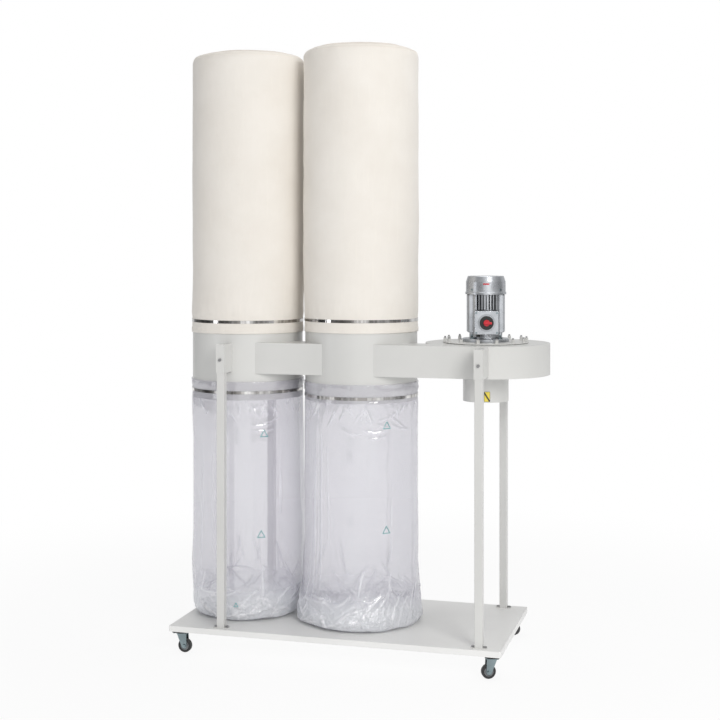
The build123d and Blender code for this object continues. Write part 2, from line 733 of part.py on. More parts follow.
with BuildPart() as switch_plate:
    rods(face_frame, centre, 30.0, boss_face, 6.0)
    fillet(switch_plate.faces().sort_by(Axis(face_frame.origin, outward))[-1].edges(), 1.5)
    rods(face_frame, centre, 22.0, boss_face + 4.5, 2.0, Mode.SUBTRACT)
    rods(face_frame, centre, spindle_radius + running_gap, boss_face + 0.5, 5.0, Mode.SUBTRACT)
save("switch_plate", switch_plate.part)

with BuildPart() as knob:
    knob_low = boss_face + 5
    rods(face_frame, centre, spindle_radius, boss_face + 1, 4.0)
    with BuildSketch(face_frame.offset(knob_low)):
        Circle(13.5)
        Rectangle(21.0, 21.0, rotation=45)
    extrude(amount=6.0)
    with BuildSketch(face_frame.offset(knob_low + 6)):
        with Locations((4.5, 0)):
            RectangleRounded(35.0, 10.0, 3.0)
    extrude(amount=12.0)
    fillet(knob.faces().sort_by(Axis(face_frame.origin, outward))[-1].edges(), 1.5)
save("switch_knob", knob.part)

with BuildPart() as gland:
    hexes(gland_frame, gland_point, 20.0, box_height / 2, 5.0)
    rods(gland_frame, gland_point, 8.5, box_height / 2 + 5, 7.0)
    rods(gland_frame, gland_point, 8.0, box_height / 2 - 4, 4.0)
    rods(gland_frame, gland_point, 5.0, box_height / 2 - 4, 16.0, Mode.SUBTRACT)
save("cable_gland", gland.part)

with BuildPart() as motor_bolts:
    hexes(fan_frame, flange_bolt_points, 17.0, flange_top, 6.4)
    rods(fan_frame, flange_bolt_points, flange_bolt, plate_top - 4, flange_thickness + 4)
    hexes(fan_frame, flange_bolt_points, 16.0, plate_top - plate_thickness - 6, 6.0)
    rods(motor_frame, lug_points, screw_radius, lug_low, body_bottom - lug_low)
    hexes(motor_frame, lug_points, screw_flats, lug_low - 6, 6.0)
    rods(face_frame, screw_points, 4.0, lid_face - 2, 3.4)
    for frame in cowl_screw_frames:
        rods(frame, centre, 2.0, cowl_radius - 12, 12.0)
        rods(frame, centre, 4.5, cowl_radius, 2.5)
save("motor_bolts", motor_bolts.part)

# ---------------------------------------------------------------- bags and their clamps

cuff = drum_radius + 0.3
filter_cuff = cuff + 1.9
film_cuff = cuff + 1.4


def filter_bag(x):
    """A sewn cloth tube with a closed, slightly crowned top."""
    with BuildPart() as bag:
        rolled(
            upright_frame(x, 0),
            [
                (cuff, filter_bottom), (filter_cuff, filter_bottom), (filter_cuff, filter_cuff_top),
                (filter_radius, filter_shoulder), (filter_radius, filter_top - filter_edge),
                (filter_radius - 8, filter_top - 14), (filter_radius - 26, filter_top - 5),
                (0, filter_top), (0, filter_top - filter_wall),
                (filter_radius - 27, filter_top - 8), (filter_radius - 10, filter_top - 16.5),
                (filter_radius - filter_wall, filter_top - filter_edge - 1),
                (filter_radius - filter_wall, filter_shoulder), (cuff, filter_cuff_top + 1),
            ],
        )
    return bag.part


def dust_bag(x, foot_radius, foot_edge, shift):
    """A clear film sack, open at the top. Its foot spreads or narrows where it meets the tray."""
    floor = tray_top + 0.3
    with BuildPart() as bag:
        for wall, mode in ((0.0, Mode.ADD), (film_wall, Mode.SUBTRACT)):
            neck = cuff if wall else film_cuff
            side = film_radius - wall
            outline = [
                (0, film_foot_top), (side, film_foot_top), (side, film_shoulder),
                (neck, film_cuff_low + wall), (neck, film_top + wall), (0, film_top + wall),
            ]
            rolled(upright_frame(x, 0), outline, mode)
            rings = [
                (film_foot_top, film_radius, 0.0),
                (floor + 2 * foot_edge, foot_radius, 1.0),
                (floor + foot_edge, foot_radius, 1.0),
                (floor + 0.3 * foot_edge, foot_radius - 0.3 * foot_edge, 1.0),
                (floor + wall, foot_radius - foot_edge, 1.0),
            ]
            for z, radius, share in rings:
                with BuildSketch(Plane.XY.offset(z)):
                    with Locations((x + share * shift[0], share * shift[1])):
                        Circle(radius - wall)
            loft(ruled=True, mode=mode)
    return bag.part


bag_feet = dict(left=(238.0, 44.0, (0.0, 0.0)), right=(286.0, 30.0, (6.0, -8.0)))
for side, x in (("left", left_x), ("right", right_x)):
    save(f"{side}_filter_bag", filter_bag(x))
    save(f"{side}_dust_bag", dust_bag(x, *bag_feet[side]))


def clamp_band(x, z, inner):
    """A split strap with a lug at each end: one holds the lever's pin, one is its seat."""
    outer = inner + band_wall
    frame = upright_frame(x, 0, latch_angle)
    low = z - band_width / 2
    with BuildPart() as band:
        rods(frame, centre, outer, low, band_width)
        rods(frame, centre, inner, low, band_width, Mode.SUBTRACT)
        with BuildSketch(frame.offset(low)):
            with Locations((outer, 0)):
                Rectangle(30.0, 34.0)
        extrude(amount=band_width, mode=Mode.SUBTRACT)
        with BuildSketch(frame.offset(z - lug_half)):
            with Locations((outer + 2.6, pin_place)):
                Circle(4.0)
            with Locations((outer + 0.6, -pin_place)):
                Rectangle(4.0, 12.0)
            with Locations((outer - 1.6, pin_place + 2)):
                Rectangle(3.0, 12.0)
            Circle(inner, mode=Mode.SUBTRACT)
        extrude(amount=2 * lug_half)
        pin = [(outer + 3.0, pin_place)]
        rods(frame, pin, pin_radius + running_gap, z - lug_half, 2 * lug_half, Mode.SUBTRACT)
    return band.part


def clamp_lever(x, z, inner):
    """An over-centre lever with two ears and its pin, lying along the strap."""
    outer = inner + band_wall
    frame = upright_frame(x, 0, latch_angle)
    pin = [(outer + 3.0, pin_place)]
    with BuildPart() as lever:
        with BuildSketch(frame.offset(z - lever_half)):
            with Locations((outer + 5.0, 8.0)):
                Rectangle(2.5, 56.0)
        extrude(amount=2 * lever_half)
        for low in (z - lever_half, z + lever_half - ear_thickness):
            with BuildSketch(frame.offset(low)):
                with Locations(*pin):
                    Circle(3.4)
                with Locations((outer + 5.0, -19.0)):
                    Rectangle(2.5, 4.0)
                make_hull()
            extrude(amount=ear_thickness)
        rods(frame, pin, pin_radius, z - lever_half, 2 * lever_half)
    return lever.part


clamps = {
    "filter": (filter_band_z, filter_cuff + 0.3),
    "dust_bag": (film_band_z, film_cuff + 0.3),
}
for use, (heights, inner) in clamps.items():
    places = dict(left=(left_x, heights[0], inner), right=(right_x, heights[1], inner))
    save(f"{use}_clamp_bands", *[clamp_band(*place) for place in places.values()])
    for side, place in places.items():
        save(f"{side}_{use}_lever", clamp_lever(*place))
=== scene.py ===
import json
from math import cos, pi, radians, sin

import bpy
import numpy as np
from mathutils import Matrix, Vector


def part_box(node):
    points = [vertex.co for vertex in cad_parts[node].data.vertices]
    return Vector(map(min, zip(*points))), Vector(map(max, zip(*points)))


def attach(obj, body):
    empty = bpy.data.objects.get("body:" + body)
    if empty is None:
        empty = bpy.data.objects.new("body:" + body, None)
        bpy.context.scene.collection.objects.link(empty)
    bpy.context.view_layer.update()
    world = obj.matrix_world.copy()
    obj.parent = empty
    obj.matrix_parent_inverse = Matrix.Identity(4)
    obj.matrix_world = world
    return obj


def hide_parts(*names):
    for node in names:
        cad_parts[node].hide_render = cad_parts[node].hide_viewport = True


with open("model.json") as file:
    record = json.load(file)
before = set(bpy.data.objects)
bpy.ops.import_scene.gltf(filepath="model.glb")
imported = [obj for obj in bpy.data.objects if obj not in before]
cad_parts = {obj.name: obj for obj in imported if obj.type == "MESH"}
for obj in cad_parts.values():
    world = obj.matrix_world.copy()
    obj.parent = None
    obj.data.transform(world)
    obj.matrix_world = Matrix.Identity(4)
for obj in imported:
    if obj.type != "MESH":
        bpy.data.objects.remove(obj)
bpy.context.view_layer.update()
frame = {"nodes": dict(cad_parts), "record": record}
nodes = frame["nodes"]
print("frame loaded:", len(nodes), "nodes")


def boxOf(name):
    low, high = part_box(name)
    return np.array(low), np.array(high)


def middleOf(name):
    low, high = boxOf(name)
    return (low + high) / 2


cameraSet = dict(place=(1.6023, -5.8251, 1.7567), turn=15.6, lens=67.7, shiftY=-0.152)
lightSet = dict(
    key=dict(place=(3.4, -4.2, 3.4), size=(2.0, 2.6), power=125, colour=(1.0, 0.985, 0.96)),
    fill=dict(place=(-4.2, -3.4, 2.2), size=(1.2, 2.6), power=20, colour=(0.96, 0.97, 1.0)),
    top=dict(place=(0.3, 0.5, 5.2), size=(3.4, 2.4), power=42, colour=(1.0, 1.0, 1.0)),
    spark=dict(place=(1.5, -5.6, 3.0), size=(0.3, 0.3), power=16, colour=(1.0, 1.0, 1.0)),
)


def makeCamera():
    camera = bpy.data.objects.new("camera", bpy.data.cameras.new("camera"))
    bpy.context.scene.collection.objects.link(camera)
    camera.location = cameraSet["place"]
    camera.rotation_euler = (radians(90), 0, radians(cameraSet["turn"]))
    camera.data.lens = cameraSet["lens"]
    camera.data.shift_y = cameraSet["shiftY"]
    bpy.context.scene.camera = camera


def makeLight(name, place, size, power, colour):
    lamp = bpy.data.lights.new(name, "AREA")
    lamp.shape = "RECTANGLE"
    lamp.size, lamp.size_y = size
    lamp.energy = power
    lamp.color = colour
    light = bpy.data.objects.new(name, lamp)
    bpy.context.scene.collection.objects.link(light)
    light.location = place
    aim = Vector((0, 0, 1.25)) - Vector(place)
    light.rotation_euler = aim.to_track_quat("-Z", "Y").to_euler()


# Upright panels round the room, seen only in reflections: (turn from 0 to 1, brightness)
worldSet = dict(
    light=0.52,
    panels=(
        (0.00, 0.15), (0.05, 0.1), (0.12, 0.15), (0.18, 0.3), (0.235, 0.7), (0.265, 1.9), (0.31, 1.9),
        (0.34, 0.8), (0.40, 0.7), (0.46, 0.8), (0.50, 0.3), (0.57, 0.25), (0.60, 1.2), (0.88, 1.3),
        (0.91, 0.4), (0.95, 0.3), (1.00, 0.3),
    ),
)


def makeWorld():
    world = bpy.data.worlds.new("studio")
    bpy.context.scene.world = world
    world.use_nodes = True
    nodes, links = world.node_tree.nodes, world.node_tree.links
    room = nodes["Background"]
    way = nodes.new("ShaderNodeTexCoord").outputs["Generated"]
    turn = nodes.new("ShaderNodeTexGradient")
    turn.gradient_type = "RADIAL"
    links.new(way, turn.inputs["Vector"])
    curve = nodes.new("ShaderNodeFloatCurve")
    points = curve.mapping.curves[0].points
    for at, bright in worldSet["panels"][1:-1]:
        points.new(at, bright / 2)
    points[0].location = (0, worldSet["panels"][0][1] / 2)
    points[-1].location = (1, worldSet["panels"][-1][1] / 2)
    for point in points:
        point.handle_type = "VECTOR"
    curve.mapping.update()
    links.new(turn.outputs["Fac"], curve.inputs["Value"])
    split = nodes.new("ShaderNodeSeparateXYZ")
    links.new(way, split.inputs[0])
    height = nodes.new("ShaderNodeMapRange")
    links.new(split.outputs["Z"], height.inputs["Value"])
    height.inputs["From Min"].default_value = 0.25
    height.inputs["From Max"].default_value = 0.75
    blend = nodes.new("ShaderNodeMix")
    links.new(height.outputs[0], blend.inputs["Factor"])
    links.new(curve.outputs[0], blend.inputs["A"])
    blend.inputs["B"].default_value = 0.55
    power = nodes.new("ShaderNodeMath")
    power.operation = "MULTIPLY"
    links.new(blend.outputs["Result"], power.inputs[0])
    power.inputs[1].default_value = 2 * worldSet["light"]
    links.new(power.outputs[0], room.inputs["Strength"])
    room.inputs["Color"].default_value = (1, 1, 1, 1)
    plain = nodes.new("ShaderNodeBackground")
    plain.inputs["Color"].default_value = (1, 1, 1, 1)
    path = nodes.new("ShaderNodeLightPath")
    pick = nodes.new("ShaderNodeMixShader")
    links.new(path.outputs["Is Camera Ray"], pick.inputs[0])
    links.new(room.outputs[0], pick.inputs[1])
    links.new(plain.outputs[0], pick.inputs[2])
    links.new(pick.outputs[0], nodes["World Output"].inputs["Surface"])



class Shader:
    # A material with a Principled surface, and short ways to add nodes to it
    def __init__(self, name):
        self.material = bpy.data.materials.new(name)
        self.material.use_nodes = True
        self.tree = self.material.node_tree
        self.surface = self.tree.nodes["Principled BSDF"]
        self.place = self.add("ShaderNodeTexCoord").outputs["Object"]

    def add(self, kind, sockets=None, **settings):
        node = self.tree.nodes.new(kind)
        for key, value in settings.items():
            setattr(node, key, value)
        for key, value in (sockets or {}).items():
            if isinstance(value, bpy.types.NodeSocket):
                self.tree.links.new(value, node.inputs[key])
            else:
                node.inputs[key].default_value = value
        return node

    def set(self, **values):
        for key, value in values.items():
            socket = self.surface.inputs[key.replace("_", " ")]
            if isinstance(value, bpy.types.NodeSocket):
                self.tree.links.new(value, socket)
            else:
                socket.default_value = value

    def noise(self, scale, detail=3.0, roughness=0.5, stretch=(1, 1, 1), place=None):
        where = self.add(
            "ShaderNodeMapping", {"Vector": place or self.place, "Scale": stretch}
        ).outputs[0]
        return self.add(
            "ShaderNodeTexNoise",
            {"Vector": where, "Scale": scale, "Detail": detail, "Roughness": roughness},
        ).outputs["Fac"]

    def ramp(self, value, *stops):
        node = self.add("ShaderNodeValToRGB", {"Fac": value})
        parts = node.color_ramp.elements
        while len(parts) < len(stops):
            parts.new(0.5)
        for part, (at, colour) in zip(parts, stops):
            part.position = at
            part.color = colour if hasattr(colour, "__len__") else (colour, colour, colour, 1)
        return node.outputs["Color"]

    def mix(self, factor, first, second):
        node = self.add("ShaderNodeMix", {"Factor": factor}, data_type="RGBA")
        for socket, value in ((node.inputs[6], first), (node.inputs[7], second)):
            if isinstance(value, bpy.types.NodeSocket):
                self.tree.links.new(value, socket)
            else:
                socket.default_value = value
        return node.outputs[2]

    def sums(self, kind, first, second=0.0):
        return self.add("ShaderNodeMath", {0: first, 1: second}, operation=kind).outputs[0]

    def bump(self, height, strength, distance, normal=None):
        sockets = {"Height": height, "Strength": strength, "Distance": distance}
        if normal is not None:
            sockets["Normal"] = normal
        return self.add("ShaderNodeBump", sockets).outputs["Normal"]


def rgb(red, green, blue):
    return (red, green, blue, 1.0)



def painted(name, colour, roughness, peel, coat):
    shader = Shader(name)
    tone = shader.noise(2.3, 4)
    dust = shader.noise(38, 5, 0.7)
    darker = rgb(*(c * 0.94 for c in colour))
    lighter = rgb(*(min(1, c * 1.02) for c in colour))
    shader.set(
        Base_Color=shader.mix(shader.ramp(tone, (0.35, 0.0), (0.68, 1.0)), darker, lighter),
        Roughness=shader.add(
            "ShaderNodeMapRange",
            {"Value": dust, "To Min": roughness * 0.8, "To Max": roughness * 1.25},
        ).outputs[0],
        Coat_Weight=coat,
        Coat_Roughness=0.12,
        Normal=shader.bump(shader.noise(420, 2), peel, 0.0004),
    )
    return shader.material


def metal(name, colour, roughness, streaks, spread=0.35, bumpy=0.08):
    shader = Shader(name)
    grain = shader.noise(90, 5, 0.6, streaks)
    blotch = shader.noise(14, 4)
    dark = rgb(*(c * (1 - spread) for c in colour))
    shader.set(
        Base_Color=shader.mix(shader.ramp(blotch, (0.3, 0.0), (0.7, 1.0)), dark, rgb(*colour)),
        Metallic=1.0,
        Roughness=shader.add(
            "ShaderNodeMapRange",
            {"Value": grain, "To Min": roughness * 0.65, "To Max": roughness * 1.4},
        ).outputs[0],
        Normal=shader.bump(grain, bumpy, 0.0003),
    )
    return shader.material


def moulded(name, colour, roughness, grain, coat=0.0):
    shader = Shader(name)
    wear = shader.noise(60, 4, 0.6)
    shader.set(
        Base_Color=shader.mix(
            shader.ramp(wear, (0.35, 0.0), (0.75, 1.0)),
            rgb(*colour),
            rgb(*(min(1, c * 1.25 + 0.008) for c in colour)),
        ),
        Roughness=shader.add(
            "ShaderNodeMapRange",
            {"Value": wear, "To Min": roughness * 0.85, "To Max": roughness * 1.15},
        ).outputs[0],
        Coat_Weight=coat,
        Normal=shader.bump(shader.noise(900, 2), grain, 0.0002),
    )
    return shader.material


def wovenCloth(name):
    # Two crossed waves on the piece's own UV map, in metres, give the weave
    shader = Shader(name)
    uv = shader.add("ShaderNodeUVMap", uv_map="cloth").outputs[0]
    warp = shader.add(
        "ShaderNodeTexWave",
        {"Vector": uv, "Scale": 150.0, "Distortion": 1.2, "Detail": 1.0, "Detail Scale": 3.0},
        bands_direction="X",
    ).outputs["Fac"]
    weft = shader.add(
        "ShaderNodeTexWave",
        {"Vector": uv, "Scale": 150.0, "Distortion": 1.2, "Detail": 1.0, "Detail Scale": 3.0},
        bands_direction="Y",
    ).outputs["Fac"]
    weave = shader.sums("MAXIMUM", warp, weft)
    slub = shader.noise(55, 4, 0.6, (1, 1, 0.12))
    mottle = shader.noise(5, 4, 0.55)
    soil = shader.noise(26, 5, 0.65)
    pale = rgb(0.835, 0.800, 0.750)
    warm = rgb(0.790, 0.750, 0.695)
    tone = shader.mix(shader.ramp(mottle, (0.3, 0.0), (0.72, 1.0)), warm, pale)
    tone = shader.mix(shader.ramp(soil, (0.56, 0.0), (0.86, 0.18)), tone, rgb(0.74, 0.68, 0.60))
    tone = shader.mix(shader.ramp(slub, (0.55, 0.0), (0.9, 0.35)), tone, rgb(0.90, 0.86, 0.79))
    # the mesh's "seam" attribute is painted shade for the puckers at the top seam; it mixes the cloth towards
    # a dark brown there
    seam = shader.add("ShaderNodeAttribute", attribute_name="seam").outputs["Fac"]
    shader.set(
        Base_Color=shader.mix(seam, tone, rgb(0.58, 0.51, 0.44)),
        Roughness=0.92,
        Sheen_Weight=0.25,
        Sheen_Roughness=0.5,
        Normal=shader.bump(
            weave, 0.35, 0.0006, shader.bump(slub, 0.25, 0.0010, shader.bump(soil, 0.25, 0.0025))
        ),
    )
    shader.surface.inputs["Specular IOR Level"].default_value = 0.25
    return shader.material


def clearFilm(name):
    # Thin flexible film: a faint lilac veil, thicker edge-on, whiter along creases (partly the film's own
    # crease whitening, partly painted highlight), and bluish white where it lies crumpled at the foot.
    # "crease" and "foot" are the mesh's own attributes
    shader = Shader(name)
    edge = shader.add("ShaderNodeLayerWeight", {"Blend": 0.30}).outputs["Facing"]
    streak = shader.noise(9, 4, 0.55, (1, 1, 0.10))
    ripple = shader.noise(16, 3, 0.5, (1, 1, 0.4))
    crease = shader.add("ShaderNodeAttribute", attribute_name="crease").outputs["Fac"]
    foot = shader.add("ShaderNodeAttribute", attribute_name="foot").outputs["Fac"]
    folds = shader.sums("ABSOLUTE", shader.sums("SUBTRACT", shader.noise(19, 4, 0.6), 0.5))
    veil = shader.add(
        "ShaderNodeMapRange", {"Value": edge, "To Min": 0.25, "To Max": 0.42}
    ).outputs[0]
    veil = shader.sums("ADD", veil, shader.sums("MULTIPLY", streak, 0.05))
    # painted highlight along creases: the film is more opaque here and is mixed to near-white below, partly
    # its own crease whitening
    veil = shader.sums("ADD", veil, shader.sums("MULTIPLY", crease, 0.35))
    veil = shader.sums("ADD", veil, shader.sums("MULTIPLY", foot, 0.22))
    tint = shader.mix(
        shader.ramp(streak, (0.35, 0.0), (0.7, 1.0)), rgb(0.66, 0.64, 0.73), rgb(0.73, 0.73, 0.80)
    )
    tint = shader.mix(foot, tint, rgb(0.93, 0.95, 1.0))
    shader.set(
        Base_Color=shader.mix(crease, tint, rgb(0.92, 0.92, 0.97)),
        Roughness=0.10,
        Alpha=shader.sums("MINIMUM", veil, 0.92),
        IOR=3.0,
        Normal=shader.bump(
            folds, shader.sums("MULTIPLY", foot, 0.9), 0.030, shader.bump(ripple, 0.22, 0.003)
        ),
    )
    return shader.material


def strapSteel(name):
    # Mirror-bright band, whose unevenness smears the room into dark and pale patches; the same patches are
    # painted into its colour as a painted reflection
    shader = Shader(name)
    dentsAndPaintedReflection = shader.noise(17, 3, 0.6, (1, 1, 0.12))
    brushed = shader.noise(60, 4, 0.6, (1, 1, 14))
    shader.set(
        # painted reflection: the colour swings between dark and pale steel by the same patches that dent the
        # band
        Base_Color=shader.mix(
            shader.ramp(dentsAndPaintedReflection, (0.42, 0.0), (0.58, 1.0)), rgb(0.40, 0.385, 0.37), rgb(0.86, 0.85, 0.84)
        ),
        Metallic=1.0,
        Roughness=shader.add(
            "ShaderNodeMapRange", {"Value": brushed, "To Min": 0.05, "To Max": 0.14}
        ).outputs[0],
        Normal=shader.bump(dentsAndPaintedReflection, 0.6, 0.004),
    )
    return shader.material


def castSilver(name):
    # Aluminium-coloured paint, darkened in the gaps between the ribs: painted shade, partly standing for dust
    # there
    shader = Shader(name)
    tone = shader.noise(22, 4, 0.6)
    gap = shader.add("ShaderNodeAmbientOcclusion", {"Distance": 0.016}, samples=12).outputs["AO"]
    # painted shade: where the ambient occlusion finds the gaps between the ribs, the colour goes to a dark
    # grey
    shade = shader.ramp(gap, (0.25, 0.0), (0.85, 1.0))
    patch = shader.ramp(tone, (0.35, 0.0), (0.7, 1.0))
    clean = shader.mix(patch, rgb(0.46, 0.48, 0.51), rgb(0.55, 0.57, 0.60))
    shader.set(
        Base_Color=shader.mix(shade, rgb(0.13, 0.135, 0.145), clean),
        Metallic=0.82,
        Roughness=shader.add(
            "ShaderNodeMapRange", {"Value": tone, "To Min": 0.22, "To Max": 0.34}
        ).outputs[0],
        Normal=shader.bump(shader.noise(260, 3), 0.08, 0.0004),
    )
    return shader.material


def stickerPrint(name):
    # Yellow ground with a dark border and one diagonal stripe, on the patch's own UV map
    shader = Shader(name)
    uv = shader.add("ShaderNodeUVMap", uv_map="patch").outputs[0]
    split = shader.add("ShaderNodeSeparateXYZ", {0: uv})
    u, v = split.outputs[0], split.outputs[1]
    slope = shader.sums("ADD", shader.sums("MULTIPLY", u, 0.85), shader.sums("MULTIPLY", v, 0.53))
    stripe = shader.sums("LESS_THAN", shader.sums("ABSOLUTE", shader.sums("ADD", slope, 0.001)), 0.0032)
    across = shader.sums("GREATER_THAN", shader.sums("ABSOLUTE", u), 0.0116)
    upright = shader.sums("GREATER_THAN", shader.sums("ABSOLUTE", v), 0.0206)
    dark = shader.sums("MAXIMUM", stripe, shader.sums("MAXIMUM", across, upright))
    worn = shader.noise(130, 4)
    yellow = shader.mix(worn, rgb(0.84, 0.66, 0.06), rgb(0.90, 0.76, 0.12))
    shader.set(Base_Color=shader.mix(dark, yellow, rgb(0.035, 0.035, 0.035)), Roughness=0.35)
    return shader.material


def turnedTo(name, colour, roughness):
    # Turned or laminated steel, with fine rings across the vertical axis
    shader = Shader(name)
    rings = shader.add(
        "ShaderNodeTexWave",
        {"Vector": shader.place, "Scale": 320.0, "Distortion": 0.4},
        bands_direction="Z",
    ).outputs["Fac"]
    shader.set(
        Base_Color=shader.mix(rings, rgb(*(c * 0.8 for c in colour)), rgb(*colour)),
        Metallic=1.0,
        Roughness=roughness,
        Normal=shader.bump(rings, 0.3, 0.0002),
    )
    return shader.material


def plainFloor(name):
    # Pale floor that fades into the white room away from the machine
    shader = Shader(name)
    cloud = shader.noise(0.8, 2)
    shader.set(
        Base_Color=shader.mix(cloud, rgb(0.90, 0.90, 0.90), rgb(0.93, 0.93, 0.93)),
        Roughness=0.75,
    )
    shader.surface.inputs["Specular IOR Level"].default_value = 0.2
    reach = shader.add("ShaderNodeVectorMath", {0: shader.place}, operation="LENGTH").outputs["Value"]
    fade = shader.add(
        "ShaderNodeMapRange", {"Value": reach, "From Min": 1.2, "From Max": 3.6},
        interpolation_type="SMOOTHSTEP",
    ).outputs[0]
    share = shader.add("ShaderNodeMapRange", {"Value": fade, "To Min": 0.88}).outputs[0]
    white = shader.add("ShaderNodeEmission", {"Color": (1, 1, 1, 1), "Strength": 1.0}).outputs[0]
    both = shader.add("ShaderNodeMixShader", {0: share, 1: shader.surface.outputs[0], 2: white})
    output = shader.tree.nodes["Material Output"]
    shader.tree.links.new(both.outputs[0], output.inputs["Surface"])
    return shader.material


finishes = {
    "frame_paint": painted("greyPaint", (0.66, 0.66, 0.645), 0.34, 0.06, 0.25),
    "tray_paint": painted("trayPaint", (0.83, 0.83, 0.82), 0.40, 0.03, 0.2),
    "black_paint": painted("blackPaint", (0.022, 0.022, 0.024), 0.35, 0.1, 0.2),
    "motor_paint": castSilver("castSilver"),
    "zinc": metal("brightZinc", (0.30, 0.37, 0.39), 0.30, (1, 1, 1)),
    "dark_zinc": metal("darkZinc", (0.45, 0.45, 0.46), 0.38, (1, 1, 1)),
    "polished_steel": strapSteel("polishedStrap"),
    "machined_steel": turnedTo("turnedSteel", (0.60, 0.60, 0.61), 0.28),
    "laminations": turnedTo("stackedSteel", (0.30, 0.30, 0.31), 0.45),
    "copper": metal("windingCopper", (0.72, 0.34, 0.18), 0.30, (1, 1, 8)),
    "filter_cloth": wovenCloth("filterCloth"),
    "sewing_thread": moulded("sewingThread", (0.80, 0.75, 0.66), 0.8, 0.3),
    "clear_film": clearFilm("clearFilm"),
    "bag_print": moulded("greenPrint", (0.03, 0.27, 0.27), 0.5, 0.1),
    "label_print": stickerPrint("hoseLabel"),
    "tyre_rubber": moulded("tyreRubber", (0.018, 0.018, 0.019), 0.55, 0.4),
    "hub_plastic": moulded("hubPlastic", (0.20, 0.21, 0.22), 0.42, 0.2),
    "black_plastic": moulded("blackPlastic", (0.006, 0.007, 0.007), 0.34, 0.15),
    "red_plastic": moulded("redPlastic", (0.52, 0.006, 0.020), 0.30, 0.05, 0.1),
    "gasket_rubber": moulded("gasketRubber", (0.03, 0.03, 0.03), 0.7, 0.5),
}


def dressNodes():
    slotOf = {part["node"]: part["material_slot"] for part in frame["record"]["subparts"]}
    for name, piece in nodes.items():
        piece.data.materials.clear()
        piece.data.materials.append(finishes[slotOf[name]])



def gridMesh(name, rings, uv=None, pole=False, material=None, smooth=True):
    # rings is (rows, columns, 3). Columns close round; with pole the last row is one point
    rows, columns = rings.shape[:2]
    here = np.arange(columns)
    nextUp = (here + 1) % columns
    lastRow = rows - 1 if pole else rows
    points = rings[:lastRow].reshape(-1, 3)
    start = np.arange(lastRow - 1)[:, None] * columns
    quads = np.stack(
        [start + here, start + nextUp, start + columns + nextUp, start + columns + here], -1
    ).reshape(-1, 4)
    faces = quads.tolist()
    if pole:
        top = len(points)
        points = np.vstack([points, rings[-1].mean(0)])
        base = (lastRow - 1) * columns
        faces += np.stack(
            [base + here, base + nextUp, np.full(columns, top)], -1
        ).tolist()
    mesh = bpy.data.meshes.new(name)
    mesh.from_pydata(points.tolist(), [], faces)
    if uv is not None:
        fillUv(mesh, uv[:lastRow], columns)
    mesh.polygons.foreach_set("use_smooth", [smooth] * len(mesh.polygons))
    mesh.update()
    piece = bpy.data.objects.new(name, mesh)
    bpy.context.scene.collection.objects.link(piece)
    if material:
        mesh.materials.append(material)
    return piece


def fillUv(mesh, uv, columns):
    # uv is (rows, columns + 1, 2), so that the last column of faces has its own end values
    rows = len(uv)
    loops = np.empty(len(mesh.loops), int)
    mesh.loops.foreach_get("vertex_index", loops)
    faceOf = np.repeat(np.arange(len(mesh.polygons)), [p.loop_total for p in mesh.polygons])
    row = np.minimum(loops // columns, rows - 1)
    column = loops % columns
    isPole = loops >= rows * columns
    faceColumn = faceOf % columns
    column = np.where((column == 0) & (faceColumn == columns - 1), columns, column)
    column = np.where(isPole, faceColumn, column)
    values = uv[row, column]
    values = np.where(isPole[:, None], uv[rows - 1, column] + [0.0, 0.02], values)
    layer = mesh.uv_layers.new(name="cloth")
    layer.data.foreach_set("uv", values.astype(np.float32).ravel())


def wander(turns, heights, seed, around, tall):
    # Smooth random values from -1 to 1: a table with "around" cells to a turn and one cell for
    # each "tall" metres, joined by cosine steps. It closes on itself at a full turn
    table = np.random.default_rng(seed).uniform(-1, 1, (64, around))
    column = (turns % 1) * around
    row = heights / tall
    c0, r0 = np.floor(column).astype(int), np.floor(row).astype(int)
    c = (1 - np.cos((column - c0) * pi)) / 2
    r = (1 - np.cos((row - r0) * pi)) / 2
    c0, c1, r0, r1 = c0 % around, (c0 + 1) % around, r0 % 64, (r0 + 1) % 64
    low = table[r0, c0] * (1 - c) + table[r0, c1] * c
    high = table[r1, c0] * (1 - c) + table[r1, c1] * c
    return low * (1 - r) + high * r


def creaseField(turns, heights, radius, creases):
    # Each crease is a ridge (1 - |off| / width)^2 along a bowed line on the unrolled wall, where
    # off is the distance from the line; it fades to its ends as 1 - (along / half)^2
    field = np.zeros(np.broadcast_shapes(turns.shape, heights.shape))
    for turn, height, half, tilt, bow, width, strength in creases:
        across = ((turns - turn + 0.5) % 1 - 0.5) * 2 * pi * radius
        up = heights - height
        along = across * cos(tilt) + up * sin(tilt)
        off = up * cos(tilt) - across * sin(tilt) - bow * (along / half) ** 2
        ridge = np.clip(1 - np.abs(off) / width, 0, 1) ** 2
        field += strength * ridge * np.clip(1 - (along / half) ** 2, 0, 1)
    return field


def ease(value, start, end):
    share = np.clip((value - start) / (end - start), 0, 1)
    return share * share * (3 - 2 * share)


def thicken(piece, wall):
    solid = piece.modifiers.new("wall", "SOLIDIFY")
    solid.thickness = wall
    solid.offset = -1
    solid.use_even_offset = False
    return piece


def walkProfile(stops, runs):
    # Samples a profile of (radius, height) stops by arc length; runs are (end length, rows)
    steps = np.r_[0, np.cumsum(np.hypot(*np.diff(stops, axis=0).T))]
    along, start = [], 0.0
    for end, rows in runs:
        end = steps[-1] if end is None else end
        along.append(np.linspace(start, end, rows, endpoint=False))
        start = end
    along = np.r_[np.concatenate(along), steps[-1]]
    return along, np.interp(along, steps, stops[:, 0]), np.interp(along, steps, stops[:, 1])


def bagTurns(columns):
    return np.arange(columns) / columns


def sheetUv(turns, along, radius):
    around = np.r_[turns, 1.0] * 2 * pi * radius
    return np.stack(np.broadcast_arrays(around[None, :], along[:, None]), -1)


